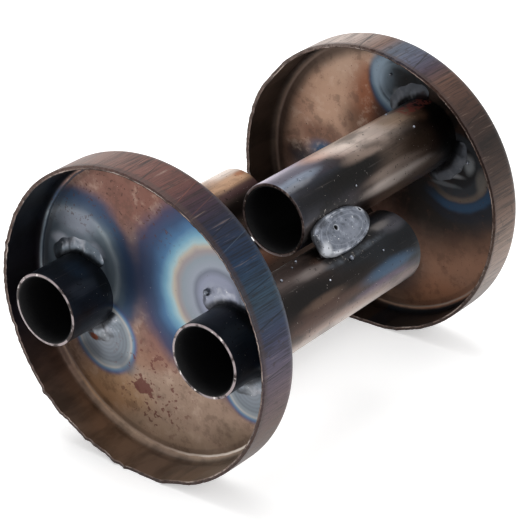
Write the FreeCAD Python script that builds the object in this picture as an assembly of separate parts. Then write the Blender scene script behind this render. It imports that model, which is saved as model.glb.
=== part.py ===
"""Baffle insert of a motorcycle exhaust muffler, welded by hand from mild steel.

Two pressed cups, both open towards the front, carry four straight tubes. The
left and right tubes pass through the front cup and end open in the chamber
between the cups. The upper and lower tubes start open in that chamber and leave
through the rear cup. Short weld beads hold each tube in its hole, and one long
puddle bridges the valley between the upper and the right tube, which ties the
two halves together. The lower tube lies opposite the upper one about the middle
between the front two, so it sits beside the left tube.

The insert lies on the rims of its cups, with its axis along Y and its front
towards -Y. Handling has knocked a few flats into each rim, and it rests on the
lowest one. Inside this file a place is written as x, depth and height: depth
runs back from the front cup's open edge and height up from the common axis.
"""
import FreeCAD
import Part
import math
import os

# Cups, in millimetres
CAP_DIAMETER = 120.0
SHEET = 1.5
CAP_DEPTH = 18.0
BEND_RADIUS = 4.5
BEND_STEPS = 2
CAP_PITCH = 139.5
HOLE_CLEARANCE = 0.3

# Flats knocked into the rims, each by its direction in degrees from +X
FLAT_DEPTH = 0.65
REST_FLAT = 270.0
FLAT_STEP = 16.8
FRONT_FLATS = (REST_FLAT - 2 * FLAT_STEP, REST_FLAT - FLAT_STEP, REST_FLAT, REST_FLAT + FLAT_STEP)
REAR_FLATS = (138.0, REST_FLAT - FLAT_STEP, REST_FLAT)

# Uneven hand-cut open edges: waves round the rim, each as count, height and start in degrees
TRIM_ALLOWANCE = 2.5
FRONT_EDGE_WAVES = ((1, 0.45, 200.0), (3, 0.28, 35.0), (7, 0.16, 110.0))
REAR_EDGE_WAVES = ((1, 0.40, 150.0), (4, 0.25, 80.0), (9, 0.14, 20.0))
EDGE_POINTS = 30

# Tubes: x and height of the axis, depth of the front end, length
TUBE_DIAMETER = 28.0
TUBE_WALL = 1.5
LEFT_TUBE_X = -36.0
LEFT_TUBE_HEIGHT = -1.8
LEFT_TUBE_START = -3.9
LEFT_TUBE_LENGTH = 110.5
RIGHT_TUBE_X = 34.2
RIGHT_TUBE_HEIGHT = -1.6
RIGHT_TUBE_START = -0.3
RIGHT_TUBE_LENGTH = 108.0
UPPER_TUBE_X = 17.4
UPPER_TUBE_HEIGHT = 22.8
UPPER_TUBE_START = 60.0
UPPER_TUBE_LENGTH = 116.5
LOWER_TUBE_X = LEFT_TUBE_X + RIGHT_TUBE_X - UPPER_TUBE_X
LOWER_TUBE_HEIGHT = LEFT_TUBE_HEIGHT + RIGHT_TUBE_HEIGHT - UPPER_TUBE_HEIGHT

# Beads that fix a tube to a cup: a run along an arc about the tube with a drop at each end
BEAD_HEIGHT = 2.0
BEAD_OFFSET = 1.6
BEAD_REACH = 5.0
RUN_OUTLINE = ((0.88, 0.0), (0.48, 0.86))
DROP_OUTLINE = ((1.0, 0.0), (0.64, 1.0))

# Puddle in the valley between the upper and the right tube
PUDDLE_LENGTH = 33.0
PUDDLE_RADIUS = 10.0
PUDDLE_OUTLINE = ((1.0, 0.34), (0.86, 0.78), (0.48, 1.0))
PUDDLE_RISE = 0.3
PUDDLE_DEPTH = 75.4
PUDDLE_ROOT = 4.0
PORE_RADIUS = 0.75
PORE_DEPTH = 0.8
PORES = ((-3.0, -2.0), (13.0, -3.6))

# Sizes that follow
CAP_RADIUS = CAP_DIAMETER / 2
TUBE_RADIUS = TUBE_DIAMETER / 2
FRONT_FACE = CAP_DEPTH - SHEET
REAR_FACE = CAP_PITCH + CAP_DEPTH - SHEET
FOREMOST = min(LEFT_TUBE_START, RIGHT_TUBE_START)
REARMOST = UPPER_TUBE_START + UPPER_TUBE_LENGTH
AXIS_Z = CAP_RADIUS - FLAT_DEPTH
FRONT_Y = -(FOREMOST + REARMOST) / 2
BACKWARD = FreeCAD.Vector(0, 1, 0)


class Tube:
    """A straight tube: its node's name, the place of its axis, its front end and its length."""

    def __init__(self, name, x, height, start, length):
        self.name = name
        self.x = x
        self.height = height
        self.start = start
        self.length = length


LEFT = Tube("left_tube", LEFT_TUBE_X, LEFT_TUBE_HEIGHT, LEFT_TUBE_START, LEFT_TUBE_LENGTH)
RIGHT = Tube("right_tube", RIGHT_TUBE_X, RIGHT_TUBE_HEIGHT, RIGHT_TUBE_START, RIGHT_TUBE_LENGTH)
UPPER = Tube("upper_tube", UPPER_TUBE_X, UPPER_TUBE_HEIGHT, UPPER_TUBE_START, UPPER_TUBE_LENGTH)
LOWER = Tube("lower_tube", LOWER_TUBE_X, LOWER_TUBE_HEIGHT, UPPER_TUBE_START, UPPER_TUBE_LENGTH)

# Beads: node, tube, depth of the cup's inner face, middle and sweep of the arc in degrees,
# and reach as a share of BEAD_REACH
BEADS = (
    ("left_tube_top_weld", LEFT, FRONT_FACE, 98.0, 66.0, 0.92),
    ("left_tube_bottom_weld", LEFT, FRONT_FACE, 303.0, 34.0, 1.08),
    ("right_tube_top_weld", RIGHT, FRONT_FACE, 100.0, 52.0, 1.04),
    ("right_tube_bottom_weld", RIGHT, FRONT_FACE, 292.0, 34.0, 0.96),
    ("upper_tube_top_weld", UPPER, REAR_FACE, 122.0, 44.0, 0.96),
    ("upper_tube_bottom_weld", UPPER, REAR_FACE, 318.0, 54.0, 1.0),
    ("lower_tube_top_weld", LOWER, REAR_FACE, 138.0, 54.0, 1.0),
    ("lower_tube_bottom_weld", LOWER, REAR_FACE, 302.0, 44.0, 0.96),
)


def place(x, depth, height):
    """A point of the part from its x, depth and height."""
    return FreeCAD.Vector(x, FRONT_Y + depth, AXIS_Z + height)


def rod(x, height, radius, start, length):
    """A solid round bar along the axis."""
    return Part.makeCylinder(radius, length, place(x, start, height), BACKWARD)


def turned_about_axis(shape, degrees):
    """The shape turned about the common axis, from +X towards +Z."""
    turned = shape.copy()
    turned.rotate(place(0, 0, 0), FreeCAD.Vector(0, -1, 0), degrees)
    return turned


def flattened(body, radius, flats):
    """The round body with a flat cut at each direction, FLAT_DEPTH below its radius."""
    corner = place(radius - FLAT_DEPTH, -CAP_RADIUS, -CAP_RADIUS)
    corner.y = body.BoundBox.YMin - SHEET
    slab = Part.makeBox(CAP_RADIUS, body.BoundBox.YLength + 2 * SHEET, 2 * CAP_RADIUS, corner)
    for direction in flats:
        body = body.cut(turned_about_axis(slab, direction))
    return body


def turned(outline, x, height, degrees=360.0):
    """The solid that an outline of (radius, depth) points sweeps about a line along the depth."""
    corners = [place(x + radius, depth, height) for radius, depth in outline]
    face = Part.Face(Part.makePolygon(corners + corners[:1]))
    return face.revolve(place(x, 0, height), FreeCAD.Vector(0, -1, 0), degrees)


def round_blank(radius, start, end, bend):
    """A round bar from start to end whose back edge is rounded by the bend radius, in steps."""
    outline = [(0, start), (radius, start)]
    for step in range(BEND_STEPS + 1):
        turn = math.pi / 2 * step / BEND_STEPS
        outline.append((radius - bend + bend * math.cos(turn), end - bend + bend * math.sin(turn)))
    outline.append((0, end))
    return turned(outline, 0, 0)


def edge_curve(radius, depth, waves):
    """A closed curve round the axis whose depth varies by the sum of the waves."""
    points = []
    for step in range(EDGE_POINTS):
        turn = 2 * math.pi * step / EDGE_POINTS
        lift = sum(height * math.sin(count * turn + math.radians(start)) for count, height, start in waves)
        points.append(place(radius * math.cos(turn), depth + lift, radius * math.sin(turn)))
    curve = Part.BSplineCurve()
    curve.interpolate(Points=points, PeriodicFlag=True)
    return curve.toShape()


def trim_tool(depth, waves):
    """All that lies in front of the uneven open edge, as a ring that the cup is cut with."""
    inner = edge_curve(CAP_RADIUS - 4 * SHEET, depth, waves)
    outer = edge_curve(CAP_RADIUS + 2 * SHEET, depth, waves)
    face = Part.makeRuledSurface(inner, outer)
    return face.extrude(BACKWARD * (-3 * TRIM_ALLOWANCE))


def pressed_cup(open_depth, flats, waves, tubes):
    """A cup of even sheet: a disc, a bend and a wall up to the uneven open edge at open_depth."""
    start = open_depth - TRIM_ALLOWANCE
    end = open_depth + CAP_DEPTH
    inner_radius = CAP_RADIUS - SHEET
    outer = flattened(round_blank(CAP_RADIUS, start, end, BEND_RADIUS), CAP_RADIUS, flats)
    hollow = round_blank(inner_radius, start - SHEET, end - SHEET, BEND_RADIUS - SHEET)
    cup = outer.cut(flattened(hollow, inner_radius, flats))
    for tube in tubes:
        cup = cup.cut(rod(tube.x, tube.height, TUBE_RADIUS + HOLE_CLEARANCE, end - 2 * SHEET, 3 * SHEET))
    return cup.cut(trim_tool(open_depth, waves))


def straight_tube(tube):
    """A tube with square-cut ends."""
    outer = rod(tube.x, tube.height, TUBE_RADIUS, tube.start, tube.length)
    bore = rod(tube.x, tube.height, TUBE_RADIUS - TUBE_WALL, tube.start - TUBE_WALL, tube.length + 2 * TUBE_WALL)
    return outer.cut(bore)


def bead(tube, face, middle, sweep, share):
    """A run of weld in the corner of tube and cup, with a drop at each end, seated on both."""
    reach = BEAD_REACH * share
    arc_radius = TUBE_RADIUS + BEAD_OFFSET
    run = [(arc_radius + reach * out, face - BEAD_HEIGHT * lift) for out, lift in RUN_OUTLINE]
    run += [(TUBE_RADIUS - SHEET, run[-1][1]), (TUBE_RADIUS - SHEET, face)]
    metal = turned(run, tube.x, tube.height, sweep)
    metal.rotate(place(tube.x, 0, tube.height), FreeCAD.Vector(0, -1, 0), middle - sweep / 2)
    drop = [(reach * out, face - BEAD_HEIGHT * lift) for out, lift in DROP_OUTLINE]
    drop += [(0, face - BEAD_HEIGHT), (0, face)]
    for end in (middle - sweep / 2, middle + sweep / 2):
        turn = math.radians(end)
        x = tube.x + arc_radius * math.cos(turn)
        height = tube.height + arc_radius * math.sin(turn)
        metal = metal.fuse(turned(drop, x, height))
    metal = metal.removeSplitter()
    return metal.cut(rod(tube.x, tube.height, TUBE_RADIUS, tube.start, tube.length))


def puddle(first, second):
    """A blunt spindle of weld metal laid in the valley between two tubes, with its gas pores."""
    across = FreeCAD.Vector(second.x - first.x, 0, second.height - first.height)
    span = across.Length
    across.normalize()
    outward = across.cross(BACKWARD)
    middle = place((first.x + second.x) / 2, PUDDLE_DEPTH, (first.height + second.height) / 2)
    crest = TUBE_RADIUS + PUDDLE_RISE
    centre = middle + outward * (crest - PUDDLE_RADIUS)
    behind = [(PUDDLE_RADIUS * out, PUDDLE_LENGTH / 2 * along) for out, along in PUDDLE_OUTLINE]
    ahead = [(radius, -along) for radius, along in behind]
    outline = [(0, -PUDDLE_LENGTH / 2)] + ahead[::-1] + behind + [(0, PUDDLE_LENGTH / 2)]
    corners = [centre + outward * radius + BACKWARD * along for radius, along in outline]
    metal = Part.Face(Part.makePolygon(corners + corners[:1])).revolve(centre, BACKWARD, 360)
    for tube in (first, second):
        metal = metal.cut(rod(tube.x, tube.height, TUBE_RADIUS, tube.start, tube.length))
    root = Part.makeCylinder(span, span, middle + outward * (PUDDLE_ROOT - span), outward)
    metal = metal.cut(root)
    for along, sideways in PORES:
        floor = middle + BACKWARD * along + across * sideways + outward * (crest - PORE_DEPTH)
        metal = metal.cut(Part.makeCylinder(PORE_RADIUS, SHEET + PORE_DEPTH, floor, outward))
    return metal


def build():
    """Every piece of the insert, by the name of its node."""
    pieces = {
        "front_cap": pressed_cup(0.0, FRONT_FLATS, FRONT_EDGE_WAVES, (LEFT, RIGHT)),
        "rear_cap": pressed_cup(CAP_PITCH, REAR_FLATS, REAR_EDGE_WAVES, (UPPER, LOWER)),
    }
    for tube in (LEFT, RIGHT, UPPER, LOWER):
        pieces[tube.name] = straight_tube(tube)
    for name, tube, face, middle, sweep, share in BEADS:
        pieces[name] = bead(tube, face, middle, sweep, share)
    pieces["tube_bridge_weld"] = puddle(UPPER, RIGHT)
    return pieces


os.makedirs("parts", exist_ok=True)
for node, shape in build().items():
    shape.exportStep("parts/" + node + ".step")
    box = shape.BoundBox
    print(
        f"{node}: solids {len(shape.Solids)} valid {shape.isValid()} volume {shape.Volume:.1f}"
        f" x {box.XMin:.2f}..{box.XMax:.2f} y {box.YMin:.2f}..{box.YMax:.2f} z {box.ZMin:.2f}..{box.ZMax:.2f}")
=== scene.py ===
"""Looks of a welded exhaust baffle insert: heat-tinted steel cups, tubes, welds, spatter and the studio.

Inside this file a place on the part is written as x, depth and height in millimetres. Depth runs
back from the open edge of the front cup, and height up from the common axis of the two cups.
"""

import math

import bpy
import numpy as np
from bpy.props import FloatProperty, FloatVectorProperty, PointerProperty
from mathutils import Matrix, Vector


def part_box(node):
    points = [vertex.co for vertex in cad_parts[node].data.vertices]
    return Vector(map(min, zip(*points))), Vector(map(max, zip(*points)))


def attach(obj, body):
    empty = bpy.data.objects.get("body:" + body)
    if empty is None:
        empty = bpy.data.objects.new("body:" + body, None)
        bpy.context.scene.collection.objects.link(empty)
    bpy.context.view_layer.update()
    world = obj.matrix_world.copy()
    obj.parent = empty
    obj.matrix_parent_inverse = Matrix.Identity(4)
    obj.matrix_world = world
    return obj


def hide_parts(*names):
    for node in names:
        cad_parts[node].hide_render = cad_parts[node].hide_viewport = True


bl_info = {
    "name": "Exhaust Baffle Insert",
    "version": (1, 0, 0),
    "blender": (4, 5, 0),
    "location": "View3D > Sidebar > Baffle",
    "description": "Heat-tinted cups, tubes and welds of an exhaust baffle insert",
    "category": "Object",
}

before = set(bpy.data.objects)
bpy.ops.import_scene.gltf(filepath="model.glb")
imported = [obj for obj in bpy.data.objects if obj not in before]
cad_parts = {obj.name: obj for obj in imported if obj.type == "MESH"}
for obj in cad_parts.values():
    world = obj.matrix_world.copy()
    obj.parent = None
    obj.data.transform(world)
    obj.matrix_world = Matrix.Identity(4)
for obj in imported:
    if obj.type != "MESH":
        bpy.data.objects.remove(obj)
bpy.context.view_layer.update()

# Millimetres in a metre, and metres in a millimetre
TO_MM = 1000
TO_METRES = 0.001

CUP_RADIUS = 60.0
SHEET = 1.5
CUP_DEPTH = 18.0
BEND = 4.5
CUP_PITCH = 139.5
FLAT_DEPTH = 0.65
FRONT_FLATS = (236.4, 253.2, 270.0, 286.8)
REAR_FLATS = (138.0, 253.2, 270.0)
FRONT_EDGE_WAVES = ((1, 0.45, 200.0), (3, 0.28, 35.0), (7, 0.16, 110.0))
REAR_EDGE_WAVES = ((1, 0.40, 150.0), (4, 0.25, 80.0), (9, 0.14, 20.0))
# Lumps and nicks of the hand cut: angle from +X in degrees, reach in degrees, height
FRONT_LUMPS = (
    (150, 1.6, 0.5), (163, 1.0, 0.6), (196, 1.5, -0.5), (222, 1.2, 0.7), (231, 1.8, 0.5), (246, 1.3, -0.4),
    (258, 1.4, 0.9), (263, 0.9, 0.6), (281, 1.6, 0.4), (300, 1.2, -0.4), (68, 1.0, 0.35), (40, 1.2, -0.3))
REAR_LUMPS = (
    (138, 1.4, 0.5), (160, 1.2, -0.4), (186, 1.5, 0.4), (284, 1.3, 0.6), (296, 1.4, 0.5), (75, 1.0, 0.35))
# Points round a cup, and radius of the innermost ring of its disc
CUP_AROUND = 576
HUB_RADIUS = 2.5
TUBE_RADIUS = 14.0
HOLE_RADIUS = 14.06
# How far the bar that cuts a hole reaches each way from the back of the disc
BAR_REACH = 6.0
# How far a tube's wall wanders inwards, as a factor on waves of 0 to 2
TUBE_UNEVEN = 0.04
# Angles in degrees past which an edge of a cup or of a tube is shaded sharp
CUP_CREASE = 38
TUBE_CREASE = 50
BEAD_ARC = 15.6
FRONT_DISC = CUP_DEPTH - SHEET
REAR_DISC = CUP_PITCH + CUP_DEPTH - SHEET

AXIS_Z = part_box("front_cap")[1].z * TO_MM - CUP_RADIUS
FRONT_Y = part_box("front_cap")[1].y * TO_MM - CUP_DEPTH


def hex_colour(code):
    """A colour written as screen hex, turned into linear light."""
    parts = [int(code[start:start + 2], 16) / 255 for start in (1, 3, 5)]
    return tuple(p / 12.92 if p <= 0.04045 else ((p + 0.055) / 1.055) ** 2.4 for p in parts)


def colour_property(name, description, code):
    """A colour that a user may change, with its default."""
    return FloatVectorProperty(
        name=name, description=description, subtype="COLOR", size=3, min=0, max=1, default=hex_colour(code))


def length_property(name, description, default):
    """A length in metres that a user may change."""
    return FloatProperty(
        name=name, description=description, default=default, min=0, unit="LENGTH", precision=5)


class CupLook(bpy.types.PropertyGroup):
    """Sizes and colours of the two cups."""
    burr: length_property("Edge burr", "How far the hand-cut edge wanders in fine steps", 0.00014)
    wobble: length_property("Wall wobble", "How far the wall is knocked in between its flats", 0.00022)
    brown: colour_property("Brown scale", "Brown oxide over most of the sheet", "#7f6155")
    tan: colour_property("Tan scale", "Pale straw and tan oxide", "#a58c7a")
    rust: colour_property("Rust", "Fresh rust spots", "#643a33")
    bare: colour_property("Bare edge", "Cut metal along the open edge", "#75625a")


class TubeLook(bpy.types.PropertyGroup):
    """Colours of the four tubes."""
    rounding: length_property("End rounding", "Rounding of the cut ends", 0.0003)
    blue_black: colour_property("Blue black", "Heat-blackened steel beside the front welds", "#252a33")
    grey_brown: colour_property("Grey brown", "Brown scale of the middle of a tube", "#5b4b43")
    # The bore colour is painted shade inside the tubes
    bore: colour_property("Bore black", "Soot inside a tube", "#0d0d0f")
    cut: colour_property("Cut end", "Bare metal on the sawn end", "#94898a")


class WeldLook(bpy.types.PropertyGroup):
    """Sizes and colours of the weld metal."""
    ripple: length_property("Ripple", "Height of the ripples on a bead", 0.00003)
    metal: colour_property("Weld metal", "Grey weld metal", "#7c818c")
    # The bright weld colour stands partly for painted highlights on the crests
    bright: colour_property("Bright weld", "Bright crests of the weld", "#c4c6cf")
    slag: colour_property("Slag", "Dark glass caught in the dips of a weld", "#2a2c31")
    spatter: length_property("Spatter", "Radius of a common spatter ball", 0.00045)


class StageLook(bpy.types.PropertyGroup):
    """The studio."""
    backdrop: colour_property("Backdrop", "Pale floor and wall", "#f6f6f6")
    key_power: FloatProperty(
        name="Key light", description="Power of the large lamp above", default=9.0, min=0, unit="POWER")


# Fine rings in the middle of a heat tint, in radians a millimetre
POOL_RING_RATE = 4.1
# Heat tints round a weld, from its pool outwards: share of the reach and the colour there
WIDE_TINT = (
    (0.00, "#8a8e9b"), (0.20, "#84889a"), (0.25, "#6b707d"), (0.29, "#8b919c"), (0.37, "#828b93"),
    (0.425, "#8d8485"), (0.465, "#a89f93"), (0.50, "#93adb3"), (0.55, "#6c96ab"), (0.62, "#43678a"),
    (0.72, "#304463"), (0.82, "#3c3b55"), (0.92, "#5b4a55"), (1.00, "#6f5a55"))
# Heat rings of the left front weld, darkened by painted shade
DARK_TINT = (
    (0.00, "#6f7780"), (0.36, "#66707a"), (0.44, "#535d67"), (0.54, "#66727b"), (0.60, "#8d979d"),
    (0.66, "#5c6b78"), (0.76, "#354961"), (0.86, "#2b3a54"), (0.94, "#3f3c50"), (1.00, "#57464b"))
SMALL_TINT = (
    (0.00, "#8d9196"), (0.30, "#808790"), (0.60, "#757d85"), (0.70, "#8d9499"), (0.755, "#a8a5a2"),
    (0.80, "#6f8799"), (0.86, "#43608a"), (0.92, "#44456b"), (1.00, "#5f4852"))
REAR_TINT = (
    (0.00, "#3a4148"), (0.35, "#2c3238"), (0.50, "#59656f"), (0.56, "#39434d"), (0.66, "#748591"),
    (0.74, "#566878"), (0.84, "#2a3a50"), (0.93, "#262734"), (1.00, "#4b352c"))


def set_inputs(node, values):
    """Writes values on a node's inputs by their names."""
    for name, value in values.items():
        node.inputs[name].default_value = value


class Paint:
    """Builds the nodes of one material, layer on layer, from places in millimetres."""

    def __init__(self, name, roughness, metallic):
        self.material = bpy.data.materials.new(name)
        self.material.use_nodes = True
        self.tree = self.material.node_tree
        self.shader = self.tree.nodes["Principled BSDF"]
        set_inputs(self.shader, {"Metallic": metallic, "Roughness": roughness, "Specular IOR Level": 0.3})
        source = self.add("ShaderNodeTexCoord")
        scaled = self.add("ShaderNodeMapping")
        set_inputs(scaled, {"Location": (0, -FRONT_Y, -AXIS_Z), "Scale": (TO_MM, TO_MM, TO_MM)})
        self.tree.links.new(source.outputs["Object"], scaled.inputs["Vector"])
        self.place = scaled.outputs["Vector"]
        split = self.add("ShaderNodeSeparateXYZ")
        self.tree.links.new(self.place, split.inputs[0])
        self.x, self.depth, self.height = split.outputs
        self.colour = None
        self.bumps = None

    def add(self, kind):
        """A new node of the given kind."""
        return self.tree.nodes.new(kind)

    def feed(self, socket, value):
        """Links a socket, or writes a number or a colour on it."""
        if isinstance(value, bpy.types.NodeSocket):
            self.tree.links.new(value, socket)
        elif isinstance(value, str):
            socket.default_value = (*hex_colour(value), 1)
        elif hasattr(value, "__len__") and len(value) == 3 and len(socket.default_value) == 4:
            socket.default_value = (*value, 1)
        else:
            socket.default_value = value

    def math(self, operation, first, second=0.0, third=0.0):
        """The result of a sum on one, two or three values."""
        node = self.add("ShaderNodeMath")
        node.operation = operation
        for socket, value in zip(node.inputs, (first, second, third)):
            self.feed(socket, value)
        return node.outputs[0]

    def vector(self, operation, first, second):
        """The result of a sum on vectors."""
        node = self.add("ShaderNodeVectorMath")
        node.operation = operation
        self.feed(node.inputs[0], first)
        self.feed(node.inputs[1], second)
        return node.outputs["Value"] if operation in ("LENGTH", "DOT_PRODUCT") else node.outputs["Vector"]

    def joined(self, first, second):
        """A vector of two values and zero."""
        node = self.add("ShaderNodeCombineXYZ")
        self.feed(node.inputs[0], first)
        self.feed(node.inputs[1], second)
        return node.outputs[0]

    def rise(self, value, start, end):
        """0 before start and 1 past end, with a smooth step between."""
        node = self.add("ShaderNodeMapRange")
        node.interpolation_type = "SMOOTHSTEP"
        self.feed(node.inputs["Value"], value)
        low, high, first, last = (start, end, 0.0, 1.0) if start < end else (end, start, 1.0, 0.0)
        set_inputs(node, {"From Min": low, "From Max": high, "To Min": first, "To Max": last})
        return node.outputs["Result"]

    def band(self, value, start, end, soft):
        """1 between start and end, fading over soft on both sides."""
        return self.both(self.rise(value, start - soft, start), self.rise(value, end + soft, end))

    def both(self, *covers):
        """The product of several covers."""
        result = covers[0]
        for cover in covers[1:]:
            result = self.math("MULTIPLY", result, cover)
        return result

    def noise(self, scale, detail=3.0, stretch=(1, 1, 1), shift=0.0, roughness=0.55):
        """Cloudy noise from 0 to 1, its clouds the inverse of the scale in millimetres across.

        Stretch multiplies the scale along x, depth and height.
        """
        node = self.add("ShaderNodeTexNoise")
        spot = self.vector("MULTIPLY", self.place, stretch)
        if shift:
            spot = self.vector("ADD", spot, (shift, shift * 0.7, shift * 1.3))
        self.feed(node.inputs["Vector"], spot)
        set_inputs(node, {"Scale": scale, "Detail": detail, "Roughness": roughness})
        return node.outputs[0]

    def ramp(self, value, stops):
        """A colour that follows a value through stops of position and colour."""
        node = self.add("ShaderNodeValToRGB")
        elements = node.color_ramp.elements
        while len(elements) < len(stops):
            elements.new(1.0)
        for element, (position, colour) in zip(elements, stops):
            element.position = position
            element.color = (*hex_colour(colour), 1)
        self.feed(node.inputs[0], value)
        return node.outputs[0]

    def mixed(self, cover, first, second, blend="MIX"):
        """The first colour, with the second one on it as far as the cover goes."""
        node = self.add("ShaderNodeMix")
        node.data_type = "RGBA"
        node.blend_type = blend
        node.clamp_factor = True
        self.feed(node.inputs[0], cover)
        self.feed(node.inputs[6], first)
        self.feed(node.inputs[7], second)
        return node.outputs[2]

    def layer(self, colour, *covers):
        """Lays a colour over what is there, as far as the product of its covers goes."""
        cover = self.both(*covers) if covers else 1.0
        self.colour = colour if self.colour is None else self.mixed(cover, self.colour, colour)

    def distance(self, x, height, warp=0.0, squash=1.0, grain=0.045):
        """Distance in the plane of a disc from a place on it, made uneven by warp."""
        offset = self.vector("SUBTRACT", self.place, (x, 0, height))
        span = self.vector("LENGTH", self.vector("MULTIPLY", offset, (1, 0, squash)), (0, 0, 0))
        if not warp:
            return span
        cloud = self.math("SUBTRACT", self.noise(grain, 3.0, shift=x), 0.5)
        return self.math("MULTIPLY_ADD", self.both(cloud, span), warp, span)

    def distance_cover(self, x, height, reach, soft):
        """1 within a reach of a place on a disc, fading over soft, with an uneven outline."""
        return self.rise(self.distance(x, height, 0.5), reach + soft, reach - soft)

    def dabs(self, across, along, marks, grain=0.06):
        """Soft oval marks of colour, each by its two places, its two half widths and its strength.

        A mark covers fully in the inner third of its reach and fades to nothing at its outline,
        which cloudy noise makes uneven.
        """
        cloud = self.math("MULTIPLY_ADD", self.noise(grain, 4.0, shift=27.0, roughness=0.6), 0.6, 0.68)
        for middle_across, middle_along, half_across, half_along, colour, strength in marks:
            first = self.math("DIVIDE", self.math("SUBTRACT", across, middle_across), half_across)
            second = self.math("DIVIDE", self.math("SUBTRACT", along, middle_along), half_along)
            square = self.math("MULTIPLY_ADD", first, first, self.both(second, second))
            reach = self.both(self.math("SQRT", square), cloud)
            self.layer(colour, self.rise(reach, 1.1, 0.32), strength)

    def tint(self, stops, x, height, reach, warp, rings=0.0):
        """Rings of heat colour about a weld, out to its reach, with fine pool rings inside."""
        span = self.distance(x, height, warp)
        share = self.math("DIVIDE", span, reach)
        colour = self.ramp(share, stops)
        if rings:
            wave = self.math("SINE", self.both(span, POOL_RING_RATE))
            fine = self.math("MULTIPLY_ADD", wave, rings, 1.0 - rings)
            inside = self.rise(share, 0.8, 0.6)
            shade = self.add("ShaderNodeCombineColor")
            for socket in shade.inputs:
                self.feed(socket, fine)
            colour = self.mixed(inside, colour, self.mixed(1.0, colour, shade.outputs[0], "MULTIPLY"))
        self.layer(colour, self.rise(share, 1.0, 0.8))

    def spots(self, colour, scale, limit, cover=1.0, shift=0.0, soft=0.03):
        """Specks where fine noise passes a limit."""
        speck = self.rise(self.noise(scale, 2.5, shift=shift), limit, limit + soft)
        self.layer(colour, speck, cover)

    def shades(self, value, *steps):
        """Lays colours over where a value goes from a start to an end, each with its strength."""
        for colour, start, end, strength in steps:
            self.layer(colour, self.rise(value, start, end), strength)

    def bump(self, value, strength, distance):
        """Adds a relief of the given height in metres to the ones before it."""
        node = self.add("ShaderNodeBump")
        set_inputs(node, {"Strength": strength, "Distance": distance})
        self.feed(node.inputs["Height"], value)
        if self.bumps is not None:
            self.tree.links.new(self.bumps, node.inputs["Normal"])
        self.bumps = node.outputs["Normal"]

    def turn(self, x=0.0, height=0.0):
        """Angle about an axis along the depth, in degrees from the top, positive to the right."""
        across = self.math("SUBTRACT", self.x, x)
        up = self.math("SUBTRACT", self.height, height)
        return self.both(self.math("ARCTAN2", across, up), 180 / math.pi)

    def round_ramp(self, turn, stops):
        """A colour by the angle from the top, with stops in degrees from -180 to 180."""
        share = self.math("MULTIPLY_ADD", turn, 1 / 360, 0.5)
        return self.ramp(share, [(angle / 360 + 0.5, colour) for angle, colour in stops])

    def along_ramp(self, start, end, stops):
        """A colour by the depth, with stops in millimetres of depth."""
        share = self.math("DIVIDE", self.math("SUBTRACT", self.depth, start), end - start)
        return self.ramp(share, [((depth - start) / (end - start), colour) for depth, colour in stops])

    def done(self):
        """Links the colour and the relief to the shader."""
        self.tree.links.new(self.colour, self.shader.inputs["Base Color"])
        if self.bumps is not None:
            self.tree.links.new(self.bumps, self.shader.inputs["Normal"])
        return self.material


def six_volumes(points, triangles):
    """Six times the signed volume between the origin and a set of triangles."""
    first, second, third = (points[triangles[:, corner]] for corner in range(3))
    return np.einsum("ij,ij->i", first, np.cross(second, third)).sum()


def surface(name, rings, first_pole=None, last_pole=None, slots=None, materials=()):
    """A closed mesh from closed rings of points in millimetres.

    rings has one row for each ring. Quads join each ring to the next. A pole closes the first or
    the last ring with triangles; without poles the last ring joins the first. slots gives the
    material number of the quads that start at each ring. Faces are turned outwards by the sign of
    the enclosed volume.
    """
    count, around = rings.shape[:2]
    loop = first_pole is None
    ids = np.arange(count * around).reshape(count, around)
    near = ids if loop else ids[:-1]
    far = np.roll(ids, -1, axis=0) if loop else ids[1:]
    corners = [near, np.roll(near, -1, axis=1), np.roll(far, -1, axis=1), far]
    quads = np.stack(corners, axis=-1).reshape(-1, 4)
    points = rings.reshape(-1, 3)
    faces = quads.tolist()
    row_slots = np.zeros(count, int) if slots is None else np.asarray(slots)
    face_slots = np.repeat(row_slots[:len(near)], around)
    if not loop:
        points = np.vstack([points, first_pole, last_pole])
        top, bottom = len(points) - 2, len(points) - 1
        start = np.stack([np.full(around, top), np.roll(ids[0], -1), ids[0]], axis=-1)
        end = np.stack([np.full(around, bottom), ids[-1], np.roll(ids[-1], -1)], axis=-1)
        faces += start.tolist() + end.tolist()
        face_slots = np.concatenate([
            face_slots, np.full(around, row_slots[0]), np.full(around, row_slots[count - 1])])
    volume = six_volumes(points, quads[:, :3]) + six_volumes(points, quads[:, (0, 2, 3)])
    if not loop:
        volume += six_volumes(points, start) + six_volumes(points, end)
    if volume < 0:
        faces = [face[::-1] for face in faces]
    mesh = bpy.data.meshes.new(name)
    mesh.from_pydata((points * TO_METRES).tolist(), [], faces)
    for material in materials:
        mesh.materials.append(material)
    mesh.polygons.foreach_set("material_index", face_slots.astype(np.int32))
    mesh.polygons.foreach_set("use_smooth", np.ones(len(faces), bool))
    mesh.update()
    piece = bpy.data.objects.new(name, mesh)
    bpy.context.scene.collection.objects.link(piece)
    return piece


def placed(x, depth, height):
    """Points of the row frame in millimetres from arrays of x, depth and height."""
    return np.stack(np.broadcast_arrays(x, FRONT_Y + depth, AXIS_Z + height), axis=-1)


def full_turn(count):
    """Evenly spaced angles round a full turn in radians."""
    return np.linspace(0, 2 * math.pi, count + 1)[:-1]


def wave_sum(turn, waves):
    """Sum of sines: each has a count round the rim, a height and a start in degrees."""
    return sum(height * np.sin(count * turn + math.radians(start)) for count, height, start in waves)


def rough_waves(seed, lowest, highest, number, height):
    """Random sines with whole counts round the rim, the same in each run."""
    random = np.random.default_rng(seed)
    counts = random.integers(lowest, highest, number)
    shares = random.uniform(0.3, 1.0, number)
    starts = random.uniform(0, 360, number)
    return [(int(c), height * s / number ** 0.5, a) for c, s, a in zip(counts, shares, starts)]


def finish_piece(piece, slot, *nodes):
    """Lets a piece stand for its nodes and ride on the body; the slot is not used."""
    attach(piece, "root")
    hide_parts(*nodes)


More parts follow.
